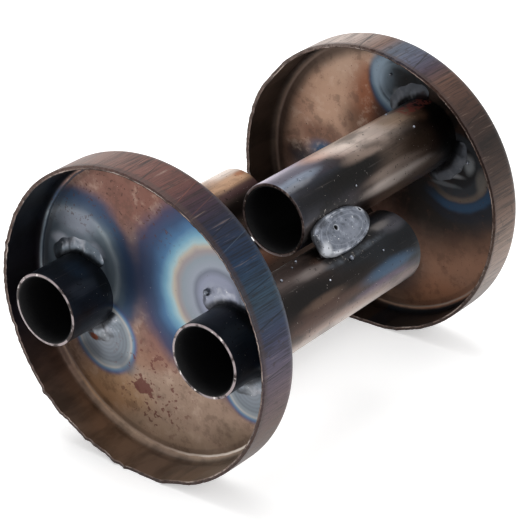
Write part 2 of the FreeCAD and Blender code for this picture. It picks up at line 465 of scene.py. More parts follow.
def cut_round_hole(cup, x, depth, height):
    """Takes a round bar along the depth out of a cup's disc."""
    turn = full_turn(160)
    across, up = x + HOLE_RADIUS * np.cos(turn), height + HOLE_RADIUS * np.sin(turn)
    span = (depth - BAR_REACH, depth + BAR_REACH)
    ends = np.array([placed(across, end, up) for end in span])
    bar = surface("hole_bar", ends, placed(x, span[0], height), placed(x, span[1], height))
    cutter = cup.modifiers.new("hole", "BOOLEAN")
    cutter.object = bar
    cutter.operation = "DIFFERENCE"
    cutter.solver = "EXACT"
    graph = bpy.context.evaluated_depsgraph_get()
    mesh = bpy.data.meshes.new_from_object(cup.evaluated_get(graph))
    cup.modifiers.clear()
    cup.data = mesh
    bpy.data.objects.remove(bar)


def cup_piece(name, open_depth, flats, waves, lumps, seed, materials, tubes, look):
    """A pressed cup as a surface of revolution whose profile is the sheet's closed section.

    The profile runs from the middle of the inner disc out through the inner bend and along the
    inner wall to the open edge, over the edge, back along the outer wall and round the outer bend
    to the middle of the back. Each flat holds the radius below the distance of its chord. The edge
    follows the waves of the hand cut, a fine burr and a few lumps of the cut, each a narrow bell
    by its angle. The wall sinks in by a slow wobble that fades towards the bend, and its very edge
    by a fine jag.
    """
    turn = full_turn(CUP_AROUND)
    back = open_depth + CUP_DEPTH
    face = back - SHEET
    bend_middle = CUP_RADIUS - BEND
    bend_depth = back - BEND
    quarter = np.radians(np.linspace(90, 0, 9))
    profile = []
    for radius in np.linspace(HUB_RADIUS, bend_middle, 16):
        profile.append((radius, face, 0.0, 0))
    for angle in quarter[1:]:
        out, along = (BEND - SHEET) * math.cos(angle), (BEND - SHEET) * math.sin(angle)
        profile.append((bend_middle + out, bend_depth + along, 0.0, 0))
    for share in np.linspace(0, 1, 13)[1:]:
        profile.append((CUP_RADIUS - SHEET, bend_depth, share, 0))
    lip_row = len(profile)
    for out, slot in ((0.12, 1), (0.50, 2), (1.05, 2), (1.38, 2)):
        profile.append((CUP_RADIUS - SHEET + out, open_depth, 1.0, slot))
    for share in np.linspace(1, 0, 13)[:-1]:
        profile.append((CUP_RADIUS, bend_depth, share, 2))
    for angle in quarter[::-1]:
        out, along = BEND * math.cos(angle), BEND * math.sin(angle)
        profile.append((bend_middle + out, bend_depth + along, 0.0, 2))
    for radius in np.linspace(bend_middle, HUB_RADIUS, 14)[1:]:
        profile.append((radius, back, 0.0, 2))
    radius, depth, wall, slots = np.array(profile).T
    burr = look.burr * TO_MM
    edge = open_depth + wave_sum(turn, waves) + wave_sum(turn, rough_waves(seed, 23, 190, 26, burr)) + burr
    for place, reach, height in lumps:
        away = np.degrees(np.angle(np.exp(1j * (turn - math.radians(place)))))
        edge = edge - height * np.exp(-(away / reach) ** 2)
    straight = (wall > 0)[:, None]
    full = bend_depth + (edge[None, :] - bend_depth) * wall[:, None]
    lips = np.zeros(len(profile))
    lips[lip_row:lip_row + 4] = (0.06, 0.0, 0.0, 0.06)
    reach = np.where(straight, full, depth[:, None]) + lips[:, None]
    slow = 0.5 + 0.5 * np.sin(2 * turn + seed) * np.sin(5 * turn + 2 * seed)
    sunk = look.wobble * TO_MM * slow
    round_radius = radius[:, None] - sunk[None, :] * wall[:, None] ** 1.5
    jag = wave_sum(turn, rough_waves(seed + 5, 30, 220, 18, 0.10))
    round_radius = round_radius - np.abs(jag)[None, :] * (wall[:, None] ** 30)
    held = np.where(straight, radius[:, None], CUP_RADIUS) - FLAT_DEPTH
    for flat in flats:
        away = np.maximum(np.cos(turn - math.radians(flat)), 0.2)[None, :]
        round_radius = np.minimum(round_radius, held / away)
    rings = placed(round_radius * np.cos(turn), reach, round_radius * np.sin(turn))
    cup = surface(
        name, rings, placed(0, face, 0), placed(0, back, 0), slots.astype(int), materials)
    for x, height in tubes:
        cut_round_hole(cup, x, back, height)
    cup.data.set_sharp_from_angle(angle=math.radians(CUP_CREASE))
    return cup


# Outer walls by the angle from the top, positive to the right: heat tints with painted light, the pale
# stretch near the top and towards the left being a painted highlight
RIM_FRONT = (
    (-180, "#4a3a33"), (-120, "#5d4b42"), (-60, "#6e574c"), (-16, "#7f655c"), (0, "#694840"), (10, "#5a3730"),
    (20, "#4c2c27"), (28, "#33202a"), (38, "#1b2032"), (52, "#182c44"), (65, "#2a3d4c"), (78, "#252c44"),
    (87, "#453f50"), (100, "#513f45"), (115, "#523b31"), (180, "#4a3a33"))
RIM_REAR = (
    (-180, "#4a3a33"), (-90, "#6b574c"), (-30, "#a08f86"), (-14, "#c0afa6"), (-4, "#97847b"), (4, "#715549"),
    (10, "#4a5260"), (18, "#4d5163"), (25, "#3a2f3c"), (32, "#5c4136"), (40, "#4a342b"), (50, "#35251f"),
    (60, "#271c18"), (72, "#3a2a23"), (86, "#5c473c"), (100, "#7a665a"), (115, "#84746b"), (130, "#4a3c36"),
    (180, "#4a3a33"))


# Scores on the outer walls: angle from the top, slant in degrees a millimetre, half width, colour,
# strength
FRONT_SCORES = (
    (3.0, 0.1, 0.10, "#140e0c", 0.7), (10.0, 0.2, 0.14, "#1c1411", 0.7), (25.0, 0.25, 0.10, "#7a4634", 0.3),
    (31.5, 0.2, 0.10, "#6e4636", 0.25), (41.0, 0.2, 0.12, "#0c0f18", 0.7), (47.0, 0.2, 0.08, "#5b6b7c", 0.25),
    (62.0, 0.1, 0.14, "#0c101a", 0.7), (74.0, 0.15, 0.16, "#0c1019", 0.8), (91.0, 0.1, 0.14, "#1a1719", 0.7))
REAR_SCORES = (
    (26.0, 0.2, 0.2, "#1c1512", 0.7), (50.0, 0.2, 0.15, "#0f0b0a", 0.7), (79.0, 0.2, 0.14, "#130e0c", 0.7))


def outer_wall_paint(name, rim, scores, open_depth, look):
    """Brushed and scored outer wall of a cup, coloured by the angle from the top with heat tints and a
    painted highlight near the top.
    """
    paint = Paint(name, 0.42, 0.55)
    turn = paint.turn()
    # Heat tints by the angle from the top, with a painted highlight near the top
    paint.layer(paint.round_ramp(turn, rim))
    streak = paint.noise(1.0, 4.0, (1.9, 0.05, 1.9), 3.0, 0.7)
    coarse = paint.noise(1.0, 3.0, (0.55, 0.04, 0.55), 11.0, 0.6)
    paint.shades(streak, ("#120e0c", 0.54, 0.34, 0.68), ("#a08f86", 0.60, 0.82, 0.45))
    paint.shades(coarse, ("#0e0b0a", 0.46, 0.34, 0.5), ("#9c877b", 0.62, 0.74, 0.3))
    for angle, slant, width, colour, strength in scores:
        lean = paint.math("MULTIPLY_ADD", paint.depth, slant, turn)
        paint.layer(colour, paint.band(lean, angle - width, angle + width, width), strength)
    paint.shades(paint.depth, ("#3a2d2a", open_depth + 2.2, open_depth + 0.6, 0.6))
    bend_start = open_depth + CUP_DEPTH - BEND
    rear = paint.mixed(paint.noise(0.035, 4.0, shift=21.0), look.brown, look.tan)
    past_bend = paint.rise(paint.depth, bend_start, bend_start + 3.5)
    paint.layer(rear, past_bend, paint.rise(paint.distance(0, 0), 59.5, 56.0))
    paint.spots("#2b211d", 0.35, 0.64, 0.5, 31.0, 0.05)
    paint.bump(streak, 0.28, 0.00025)
    paint.bump(coarse, 0.12, 0.0004)
    rough = paint.math("MULTIPLY_ADD", streak, 0.25, 0.30)
    paint.tree.links.new(rough, paint.shader.inputs["Roughness"])
    return paint.done()


def edge_paint(name, look):
    """Hand-cut edge: brown bare metal with dark nicks and a few bright spots that are painted highlights on
    the burrs.
    """
    paint = Paint(name, 0.45, 0.5)
    paint.layer(look.bare)
    paint.layer("#3d302b", paint.rise(paint.noise(0.25, 3.0), 0.46, 0.60))
    # Bright spots: painted highlights glinting on the burrs
    paint.layer("#b9aaa1", paint.rise(paint.noise(0.12, 4.0, shift=44.0), 0.52, 0.64), 0.7)
    paint.spots("#241c19", 1.0, 0.60, 0.8, 4.0, 0.05)
    paint.bump(paint.noise(2.0, 3.0), 0.4, 0.0002)
    return paint.done()


def inner_base(paint, look, top, low):
    """Brown and tan scale of a disc, tinted towards its top and its foot, with fine specks."""
    cloud = paint.noise(0.035, 4.0, shift=2.0)
    fine = paint.noise(0.35, 4.0, shift=8.0, roughness=0.65)
    paint.layer(paint.mixed(paint.rise(cloud, 0.38, 0.62), look.brown, look.tan))
    paint.shades(paint.height, (top, 5, 45, 0.55), (low, -12, -42, 0.75))
    paint.shades(fine, ("#3c2b25", 0.50, 0.30, 0.35), ("#c2ab9b", 0.56, 0.76, 0.22))
    return cloud, fine


def mottled(paint, dark, pale, where=1.0):
    """Darker clouds a few millimetres across over the scale of a disc, and paler ones where it says."""
    mottle = paint.noise(0.15, 5.0, shift=19.0, roughness=0.65)
    paint.shades(mottle, ("#4a342b", 0.49, 0.36, dark))
    paint.layer("#cdb5a3", paint.rise(mottle, 0.54, 0.68), where, pale)


# Inner walls past the bend, their near-black stretches painted shade, and painted highlights along the bends,
# by the angle from the top
FRONT_WALL = (
    (-180, "#7d6a5d"), (-165, "#86705f"), (-140, "#755f50"), (-125, "#5c463b"), (-105, "#2c242a"),
    (-60, "#181c24"), (-25, "#15161a"), (0, "#33241f"), (60, "#3c3238"), (110, "#6a5b53"), (150, "#8a7868"),
    (180, "#7d6a5d"))
FRONT_BEND_HIGHLIGHT = (
    (-180, "#c4b1a3"), (-150, "#b09a87"), (-115, "#6e5c5c"), (-80, "#333c48"), (-30, "#2c2e36"),
    (10, "#33231f"), (60, "#6e6166"), (120, "#d9ccc0"), (160, "#efe4d9"), (180, "#cdbbad"))
REAR_WALL = (
    (-180, "#2c211c"), (-130, "#2f2622"), (-90, "#4a3d34"), (-50, "#4a3e37"), (0, "#352c27"), (60, "#1b1614"),
    (110, "#4a3a31"), (150, "#14161b"), (180, "#171a20"))
REAR_BEND_HIGHLIGHT = (
    (-180, "#57483f"), (-90, "#5a4a42"), (-40, "#6b5a50"), (0, "#4b3c35"), (60, "#2a221e"), (110, "#7d6a5e"),
    (150, "#8b7a6f"), (180, "#57483f"))


def inner_wall(paint, wall_stops, highlight_stops, cloud, fine):
    """Finishes the inside of a cup: painted shade in the crease inside the bend, the wall past the bend with
    its painted shade, the painted highlight along the bend and the relief.
    """
    radius = paint.distance(0, 0)
    turn = paint.turn()
    # Painted shade in the crease just inside the bend
    paint.layer("#3a2b25", paint.band(radius, 54.0, 55.0, 1.0), 0.3)
    past_bend = paint.rise(radius, 56.2, 57.6)
    # Wall colour by the angle from the top; its near-black stretches are painted shade
    paint.layer(paint.round_ramp(turn, wall_stops), past_bend)
    grime = paint.noise(0.12, 4.0, (1, 0.35, 1), 17.0)
    paint.layer("#15110f", past_bend, paint.rise(grime, 0.60, 0.38), 0.45)
    # Painted highlight along the bend, its colour by the angle from the top
    line = paint.band(paint.distance(0, 0, 0.012, 1.0, 0.2), 55.8, 56.2, 0.35)
    paint.layer(paint.round_ramp(turn, highlight_stops), line, 0.9)
    paint.bump(fine, 0.22, 0.0003)
    paint.bump(cloud, 0.25, 0.0012)
    return paint.done()


# Patches on the discs: x, height, half width, half height, colour, strength
FRONT_PATCHES = (
    (-14, -52, 26, 8, "#bda28c", 0.8), (-30, -44, 16, 9, "#c39a7c", 0.7), (-36, 40, 18, 10, "#9a7a70", 0.6),
    (2, 5, 15, 22, "#4a3b4f", 0.75), (-2, 44, 46, 18, "#724a40", 0.7), (20, 40, 24, 14, "#7d5748", 0.6),
    (6, -14, 16, 12, "#875a4d", 0.6), (10, -34, 26, 14, "#8f7767", 0.6), (-24, -40, 22, 12, "#a9835c", 0.6),
    (-12, -22, 16, 6, "#7c4f3b", 0.5), (34, -42, 16, 9, "#6c5a48", 0.6), (2, -51, 40, 8, "#a8917d", 0.7))
# Among the rear patches, the near-black ones at x 20 to 42 are painted shade beside the upper tube, and the
# small dark one at x -46 is a painted shadow
REAR_PATCHES = (
    (-32, 28, 26, 34, "#b39079", 0.8), (-16, 46, 28, 14, "#b39682", 0.7), (-46, 12, 14, 26, "#8c6755", 0.6),
    (-12, 20, 14, 12, "#5a3c2b", 0.8), (-7, 34, 15, 16, "#7e4629", 0.85), (0, 24, 10, 16, "#2f1c14", 0.9),
    (-33, 10, 14, 8, "#573527", 0.7), (-46, 0, 8, 6, "#241c1c", 0.85),
    (-32, 3, 10, 6, "#2b4762", 0.95), (-34, -5, 18, 9, "#1b222d", 0.95), (40, -30, 34, 28, "#85604c", 0.9),
    (48, -14, 14, 14, "#7a5a49", 0.8), (24, -48, 26, 12, "#84583f", 0.8), (2, -38, 18, 18, "#171b22", 0.95),
    (20, -4, 40, 28, "#15110f", 0.97), (30, 4, 30, 18, "#1c1c1e", 0.95), (40, 28, 44, 44, "#0f0e0e", 0.98),
    (42, 0, 24, 16, "#26282c", 0.9))


# Marks on the front pools: grey pool metal, cool painted highlights on the pools by the beads, and painted
# shadow in the dark gaps beside the beads
FRONT_POOL_MARKS = (
    (-46, 15.5, 5, 3.2, "#b9bdc8", 0.75), (-29, 15.0, 5, 4, "#a9aebb", 0.7), (-38, 19, 6, 3, "#4a525c", 0.6),
    (-36, 12.8, 12, 1.8, "#15171b", 0.85), (26, 13, 6, 6, "#9a9eac", 0.6),
    (33, 13.6, 12, 2.6, "#15171c", 0.85), (45, 12, 5, 5, "#8a909d", 0.6),
    (-24, -17, 6, 4, "#7b8189", 0.5), (-38, -15.2, 8, 1.4, "#17191c", 0.7),
    (-38, 25, 13, 6, "#8f939f", 0.6), (-18, -27, 7, 5, "#5b626b", 0.6), (-35, -26, 8, 5, "#4b4e55", 0.6))
# Marks on the rear pools: cold metal and black scale beside the beads
REAR_POOL_MARKS = (
    (-4, 44, 6, 9, "#8293a2", 0.8), (0, 41, 4, 7, "#4c5862", 0.7), (12, 41, 13, 11, "#0b0c0d", 0.97),
    (4, 36, 2.5, 3, "#5f6468", 0.7), (29, 8, 8, 1.5, "#8f9499", 0.85), (27, 3.4, 8, 1.3, "#6a7075", 0.7),
    (37.5, 14, 3.2, 5, "#8f9599", 0.8), (31, 12, 6, 4, "#1d1f22", 0.85), (43, 8, 3, 6, "#75706a", 0.7))


def front_pools(paint):
    """Heat rings of the four welds of the front cup, on its disc and on the beads alike."""
    paint.tint(WIDE_TINT, 28.0, 12.5, 42.0, 0.30)
    # Heat rings of the left weld, darkened by painted shade
    paint.tint(DARK_TINT, -38.5, 9.0, 33.0, 0.30)
    paint.dabs(paint.x, paint.height, ((-9, 12, 13, 20, "#26344e", 0.75), (-30, 32, 14, 8, "#33415c", 0.5)))
    paint.tint(SMALL_TINT, -27.5, -18.0, 17.0, 0.15, rings=0.07)
    paint.tint(SMALL_TINT, 40.5, -18.0, 15.0, 0.10, rings=0.07)
    paint.layer("#8a4a2c", paint.rise(paint.distance(-32.5, -20.0, 1.6, 1.0, 0.3), 2.2, 1.5), 0.9)


def front_inside(look):
    """Inside of the front cup: four heat-tinted weld places, rust and pits on brown steel."""
    paint = Paint("front_cup_inside", 0.36, 0.6)
    # The pale tan towards the foot of the front disc is partly its scale and partly a painted highlight
    cloud, fine = inner_base(paint, look, "#7a5045", "#99816f")
    paint.dabs(paint.x, paint.height, FRONT_PATCHES)
    mottled(paint, 0.35, 0.25)
    front_pools(paint)
    # Pool marks, among them painted highlights and painted shadow beside the beads
    paint.dabs(paint.x, paint.height, FRONT_POOL_MARKS, 0.2)
    patch = paint.distance_cover(-5.0, -33.0, 18.0, 6.0)
    for scale, limit, shift in ((0.42, 0.61, 5.0), (0.75, 0.67, 35.0)):
        blot = paint.rise(paint.noise(scale, 2.5, shift=shift), limit, limit + 0.03)
        paint.layer(look.rust, patch, blot, 0.85)
    big = paint.distance(-10.3, -34.2, 2.6, 1.25, 0.22)
    paint.layer(look.rust, paint.rise(big, 4.4, 3.7), 0.92)
    top = paint.both(paint.rise(paint.height, 16, 32), paint.rise(paint.x, 16, 2))
    pits = paint.rise(paint.noise(0.8, 2.0, shift=40.0), 0.63, 0.67)
    paint.layer("#4a2e27", top, pits, 0.75)
    paint.spots("#4a352d", 1.5, 0.70, 0.7, 24.0)
    paint.spots("#d6ccc4", 1.4, 0.735, 0.8, 54.0, 0.02)
    return inner_wall(paint, FRONT_WALL, FRONT_BEND_HIGHLIGHT, cloud, fine)


def rear_inside(look):
    """Inside of the rear cup: two weld places with dark halos on tan steel, painted shade near the bend on
    the left and beside the upper tube, and a small painted shadow.
    """
    paint = Paint("rear_cup_inside", 0.38, 0.6)
    cloud, fine = inner_base(paint, look, "#93765f", "#8a6a54")
    paint.dabs(paint.x, paint.height, REAR_PATCHES)
    mottled(paint, 0.4, 0.25, paint.rise(paint.x, 2, -12))
    # Painted shade of the bend on the left of the disc
    ring = paint.distance(0, 0, 0.10, 1.0, 0.03)
    shaded = paint.both(paint.rise(ring, 49.0, 54.0), paint.rise(paint.x, 12, -16), 0.8)
    paint.layer("#43362f", shaded)
    paint.tint(REAR_TINT, 4.0, 40.5, 15.5, 0.25, rings=0.06)
    arc = paint.distance(31.2, 12.3, 0.25)
    right = paint.rise(paint.math("SUBTRACT", paint.x, paint.height), 14, 34)
    paint.layer("#75695f", paint.band(arc, 13.8, 15.0, 1.6), right, 0.6)
    paint.layer("#2b4560", paint.band(arc, 17.0, 18.8, 2.2), right, 0.9)
    paint.layer("#1d2029", paint.band(arc, 20.8, 22.5, 2.4), right, 0.7)
    paint.layer("#3a3f45", paint.band(arc, 10.5, 12.5, 2.0), 0.6)
    paint.shades(arc, ("#232427", 10.0, 7.0, 0.8))
    paint.dabs(paint.x, paint.height, REAR_POOL_MARKS, 0.2)
    paint.spots("#5a3b2a", 0.7, 0.68, 0.7, 61.0)
    paint.spots("#33231e", 1.1, 0.68, 0.8, 24.0)
    return inner_wall(paint, REAR_WALL, REAR_BEND_HIGHLIGHT, cloud, fine)


class OBJECT_OT_baffle_cups(bpy.types.Operator):
    """Make the two heat-tinted cups in place of their plain solids"""
    bl_idname = "object.baffle_cups"
    bl_label = "Cups"

    def execute(self, context):
        look = context.scene.baffle_cups
        bare = edge_paint("cup_edge", look)
        outside = outer_wall_paint("front_cup_outside", RIM_FRONT, FRONT_SCORES, 0.0, look)
        materials = (front_inside(look), bare, outside)
        holes = (tube_axis("left_tube"), tube_axis("right_tube"))
        front = cup_piece(
            "front_cup", 0.0, FRONT_FLATS, FRONT_EDGE_WAVES, FRONT_LUMPS, 3, materials, holes, look)
        finish_piece(front, "cap_steel", "front_cap")
        outside = outer_wall_paint("rear_cup_outside", RIM_REAR, REAR_SCORES, CUP_PITCH, look)
        materials = (rear_inside(look), bare, outside)
        holes = (tube_axis("upper_tube"), tube_axis("lower_tube"))
        rear = cup_piece(
            "rear_cup", CUP_PITCH, REAR_FLATS, REAR_EDGE_WAVES, REAR_LUMPS, 8, materials, holes, look)
        finish_piece(rear, "cap_steel", "rear_cap")
        return {"FINISHED"}


def tube_axis(node):
    """x and height of a tube's axis, from its node's box."""
    low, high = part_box(node)
    return (low.x + high.x) / 2 * TO_MM, (low.z + high.z) / 2 * TO_MM - AXIS_Z


def tube_span(node):
    """Depth of a tube's front and back end, from its node's box."""
    low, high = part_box(node)
    return low.y * TO_MM - FRONT_Y, high.y * TO_MM - FRONT_Y


def tube_piece(name, node, materials, look):
    """A tube as a closed section carried round its axis.

    The section runs along the outer wall, over the back end with a small rounding, back along the
    bore and over the front end. The outer wall is drawn in by a slow unevenness of a few
    hundredths of a millimetre, the product of two sines along the depth and the angle.
    """
    x, height = tube_axis(node)
    start, end = tube_span(node)
    turn = full_turn(192)
    ease = look.rounding * TO_MM
    outer, inner = TUBE_RADIUS, TUBE_RADIUS - SHEET
    section = [(outer - ease, start, 2), (outer - ease * 0.3, start + ease * 0.3, 0)]
    section += [(outer, depth, 0) for depth in np.linspace(start + ease, end - ease, 41)]
    section += [(outer - ease * 0.3, end - ease * 0.3, 2), (outer - ease, end, 2), (inner + 0.5, end, 1)]
    section += [(inner + ease, end, 1)]
    section += [(inner, depth, 1) for depth in np.linspace(end - ease, start + ease, 21)]
    section += [(inner + ease, start, 1), (inner + 0.5, start, 2)]
    radius, depth, slots = np.array(section).T
    waves = np.sin(depth[:, None] * 0.11 + 2 * turn) * np.sin(3 * turn + depth[:, None] * 0.05)
    uneven = TUBE_UNEVEN * (1 + waves)
    uneven = uneven * (radius > outer - 0.001)[:, None]
    real = radius[:, None] - uneven
    rings = placed(x + real * np.cos(turn), depth[:, None], height + real * np.sin(turn))
    piece = surface(name, rings, slots=slots.astype(int), materials=materials)
    piece.data.set_sharp_from_angle(angle=math.radians(TUBE_CREASE))
    return piece


def drawn_steel(node):
    """A tube's paint, the angle about the tube's axis and the fine lines that drawing leaves along it."""
    paint = Paint(node + "_steel", 0.33, 0.65)
    return paint, paint.turn(*tube_axis(node)), paint.noise(1.0, 4.0, (1.3, 0.03, 1.3), 6.0, 0.65)


def tube_finish(paint, lines, dark, pale):
    """Drawing lines, specks and pits over a tube's tints."""
    cloud = paint.noise(0.08, 4.0, (1, 0.45, 1), 9.0)
    paint.shades(lines, ("#110d0b", 0.46, 0.26, dark), ("#c9beb6", 0.62, 0.84, pale))
    paint.shades(cloud, ("#120e0c", 0.45, 0.30, 0.55))
    paint.spots("#1a1412", 0.8, 0.66, 0.8, 33.0)
    paint.spots("#e6ddd6", 1.5, 0.735, 0.8, 66.0, 0.02)
    paint.bump(lines, 0.15, 0.0002)
    paint.bump(paint.noise(0.7, 4.0, shift=12.0), 0.15, 0.0003)
    return paint.done()


# Marks on the tubes: angle from the top, depth, half angle, half depth, colour, strength
# Left tube behind the stub: the near-white mark at -22 degrees is a painted highlight, and the dark and black
# marks at 36 and 60 degrees are painted shade
LEFT_MARKS = (
    (-22, 98, 34, 26, "#e6d5c9", 0.9), (16, 96, 22, 26, "#b28d6f", 0.85), (36, 98, 14, 30, "#4a3335", 0.85),
    (60, 98, 24, 40, "#17110f", 0.95), (8, 104, 8, 4, "#8a4f2a", 0.7), (-8, 88, 14, 8, "#a77a58", 0.5))
# Left stub: the blue-grey mark at 52 degrees is a painted sheen, and the thin black strip at the root by the
# disc is painted shade
LEFT_STUB_MARKS = (
    (52, 4, 14, 9, "#4c525c", 0.6), (18, 8, 30, 5, "#2e4055", 0.6), (-25, 6, 16, 10, "#3a4450", 0.5),
    (60, 14, 30, 3.5, "#101216", 0.8))
# Right tube: the black marks from 40 to 62 degrees are a painted dark reflection, and the pale tan marks at
# 119 and 126 degrees low on the flank are a painted highlight over tan scale
RIGHT_MARKS = (
    (6, 40, 26, 22, "#453a37", 0.8), (-22, 66, 26, 34, "#625550", 0.6), (50, 44, 28, 26, "#0e0b0a", 0.95),
    (78, 56, 20, 34, "#3f2c24", 0.85), (22, 54, 12, 12, "#6f6663", 0.7), (40, 84, 30, 26, "#14171b", 0.93),
    (30, 76, 8, 20, "#565c64", 0.75), (58, 101, 26, 14, "#0a0c10", 0.97), (20, 102, 18, 11, "#4a494f", 0.8),
    (14, 96, 10, 7, "#7b7673", 0.6), (62, 68, 18, 18, "#15100e", 0.9), (78, 88, 14, 20, "#2f4459", 0.9),
    (96, 84, 11, 26, "#4d404f", 0.85), (119, 54, 29, 60, "#8f7a70", 0.97), (126, 48, 20, 48, "#b3a49b", 0.85),
    (112, 99, 16, 14, "#62504c", 0.85), (92, 36, 12, 26, "#4a352d", 0.7), (10, 62, 10, 7, "#6b5347", 0.5),
    (66, 50, 9, 16, "#5d4b40", 0.6))
# Right stub: the grey mark at 40 degrees is a painted sheen, and the thin black strip at the root by the disc
# is painted shade
RIGHT_STUB_MARKS = (
    (40, 5, 16, 8, "#3c434d", 0.5), (-20, 8, 22, 8, "#22303e", 0.6), (30, 14, 40, 3, "#0d0f12", 0.8))
# Upper tube: the near-white marks at -28 and -8 degrees, the pale ones at 20 and 93 degrees and the blue-grey
# one at 18 degrees are painted highlights and sheen; the black ones at 50 and 58 degrees are a painted dark
# reflection
UPPER_MARKS = (
    (-28, 70, 28, 28, "#bcb1c2", 0.92), (0, 72, 20, 20, "#5a5664", 0.7), (18, 70, 11, 15, "#76808f", 0.75),
    (27, 66, 8, 12, "#7b7d84", 0.7), (36, 82, 10, 18, "#20252e", 0.8), (58, 78, 28, 34, "#0f0f12", 0.95),
    (50, 96, 26, 26, "#070605", 0.95), (-14, 92, 26, 16, "#c39c8c", 0.92), (10, 99, 18, 10, "#5b3a2f", 0.7),
    (-8, 111, 36, 26, "#e8d8cd", 0.95), (20, 118, 26, 24, "#b9a89e", 0.9), (32, 107, 12, 18, "#7d6c62", 0.8),
    (46, 124, 16, 16, "#4f423a", 0.8), (93, 118, 15, 26, "#b0a49d", 0.95), (76, 116, 12, 22, "#7a6c64", 0.85),
    (100, 70, 20, 26, "#6a625f", 0.85), (74, 66, 14, 12, "#242429", 0.7), (58, 134, 18, 12, "#33271f", 0.85),
    (-2, 136, 34, 14, "#b79b85", 0.9), (14, 144, 24, 7, "#8d6a55", 0.75), (-18, 140, 9, 5, "#5a4033", 0.7),
    (-2, 129, 12, 5, "#97806f", 0.5), (104, 134, 14, 20, "#5d4f46", 0.7))
# Lower tube: the black marks on its top, at -6 and -50 degrees, are the left tube's painted shadow
LOWER_MARKS = (
    (22, 95, 22, 22, "#6b4a3a", 0.85), (-6, 96, 18, 26, "#1a1718", 0.9), (20, 108, 22, 16, "#4e352a", 0.8),
    (-50, 84, 24, 24, "#1d1715", 0.9), (0, 72, 60, 12, "#2a3242", 0.7), (10, 124, 50, 18, "#3a2a23", 0.7))


def burnt_round_bridge(paint):
    """Dark burnt steel round the long puddle, on the two tubes that it joins."""
    middle, _, outward = bridge_frame()
    centre = middle + outward * TUBE_RADIUS
    offset = paint.vector("SUBTRACT", paint.place, (centre[0], BRIDGE_DEPTH + 1.0, centre[2]))
    span = paint.vector("LENGTH", paint.vector("MULTIPLY", offset, (1.0, 0.52, 1.0)), (0, 0, 0))
    cloud = paint.math("MULTIPLY_ADD", paint.noise(0.15, 4.0, shift=51.0), 1.2, 0.4)
    burnt = paint.rise(paint.both(span, cloud), 12.5, 8.5)
    paint.layer("#0d0c0d", burnt, 0.85)
    crust = paint.rise(paint.noise(0.55, 4.0, shift=57.0, roughness=0.7), 0.60, 0.66)
    paint.layer("#8d8783", burnt, crust, paint.rise(span, 12.0, 9.5), 0.75)


def left_tube_paint(look):
    """Blue-black stub in the front cup, with a painted sheen and painted shade at its root, and pale tan
    behind it, with a painted highlight on its top, over black that is painted shade.
    """
    paint, turn, lines = drawn_steel("left_tube")
    paint.layer(look.grey_brown)
    paint.dabs(turn, paint.depth, LEFT_MARKS)
    paint.layer(look.blue_black, paint.rise(paint.depth, 34, 20))
    paint.dabs(turn, paint.depth, LEFT_STUB_MARKS)
    return tube_finish(paint, lines, 0.4, 0.2)


def right_tube_paint(look):
    """Blue-black stub with a painted sheen and painted shade at its root, brown and dark middle with a
    painted dark reflection along its upper flank, blue tint near the inner mouth, pale tan underside partly
    lit by a painted highlight.
    """
    paint, turn, lines = drawn_steel("right_tube")
    paint.layer(paint.along_ramp(0, 108, (
        (0, "#1c1f25"), (17, "#1f232b"), (26, "#231c1b"), (45, "#2c2321"), (60, "#2b211d"), (72, "#1e1b1b"),
        (86, "#1c1f24"), (97, "#26282d"), (106, "#15181c"))))
    paint.dabs(turn, paint.depth, RIGHT_MARKS)
    paint.layer(look.blue_black, paint.rise(paint.depth, 22, 17))
    paint.dabs(turn, paint.depth, RIGHT_STUB_MARKS)
    burnt_round_bridge(paint)
    return tube_finish(paint, lines, 0.3, 0.14)


def upper_tube_paint():
    """Blue-grey mouth, black flank that is a painted dark reflection, silver crown that is a painted
    highlight, brown towards the rear and black at its root.
    """
    paint, turn, lines = drawn_steel("upper_tube")
    paint.layer(paint.along_ramp(58, 178, (
        (60, "#35373f"), (70, "#302f38"), (82, "#2b2730"), (95, "#241b19"), (106, "#40342e"),
        (118, "#55483f"), (132, "#493b33"), (142, "#30241f"), (150, "#100e0e"), (160, "#1b1e25"),
        (168, "#54566a"), (176, "#7c675e"))))
    paint.dabs(turn, paint.depth, UPPER_MARKS)
    paint.layer("#0d0b0b", paint.rise(paint.depth, 143, 151), paint.rise(paint.depth, 158, 156), 0.9)
    crown = paint.both(paint.band(turn, -14, 10, 5), paint.band(paint.depth, 141, 154, 3))
    paint.layer("#ad5d53", crown, paint.rise(paint.noise(0.42, 2.0, shift=3.0), 0.44, 0.48), 0.92)
    burnt_round_bridge(paint)
    return tube_finish(paint, lines, 0.3, 0.12)


def lower_tube_paint(look):
    """Brown scale like the upper tube's, with the left tube's painted shadow, black, across its top."""
    paint, turn, lines = drawn_steel("lower_tube")
    paint.layer(look.grey_brown)
    paint.dabs(turn, paint.depth, LOWER_MARKS)
    paint.layer("#141110", paint.rise(paint.depth, 143, 151), paint.rise(paint.depth, 158, 156), 0.85)
    return tube_finish(paint, lines, 0.42, 0.2)


def bore_paint(look):
    """Near-black inside of a tube, painted shade, with a few grey flecks."""
    paint = Paint("tube_bore", 0.6, 0.3)
    # Painted shade of the bore
    paint.layer(look.bore)
    paint.spots("#3a3431", 1.0, 0.70, 0.6, 5.0)
    paint.bump(paint.noise(0.8, 3.0), 0.3, 0.0003)
    return paint.done()


def cut_end_paint(look):
    """Bare metal of a sawn end, with dark stains and bright burrs, and painted shade darkening the inner
    mouths.
    """
    paint = Paint("tube_cut_end", 0.32, 0.8)
    paint.layer(look.cut)
    paint.layer("#3a3230", paint.rise(paint.noise(0.22, 3.0), 0.46, 0.60))
    paint.spots("#e9e2dd", 0.35, 0.60, 0.8, 9.0, 0.05)
    # Painted shade darkens the inner mouths
    paint.shades(paint.depth, ("#262224", 50, 58, 0.35))
    paint.bump(paint.noise(2.5, 3.0), 0.3, 0.0002)
    return paint.done()


